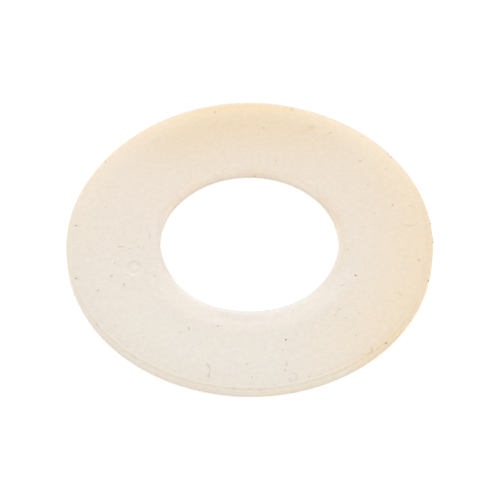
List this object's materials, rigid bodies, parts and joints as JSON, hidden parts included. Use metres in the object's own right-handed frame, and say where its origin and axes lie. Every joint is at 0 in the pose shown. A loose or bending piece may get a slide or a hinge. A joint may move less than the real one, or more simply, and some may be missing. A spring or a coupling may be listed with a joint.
{
  "type": "flat gasket",
  "caption": "Flat round gasket of translucent silicone rubber with a wide sealing face round its bore, softened edges and a low trim lip on the upper rim.",
  "frame": {"origin": "on the ring's axis, on the plane that the lower face lies on", "axes": "+Z along the ring's axis, up through the face with the trim lip; -Y towards the viewer in the picture and +X to the viewer's right"},
  "size_m": [0.063, 0.063, 0.002],
  "materials": {
    "silicone_rubber": "satin, translucent warm white with a faint amber tint towards one side of the rim"
  },
  "bodies": {
    "root": {"flat_gasket": "silicone_rubber"}
  },
  "joints": []
}
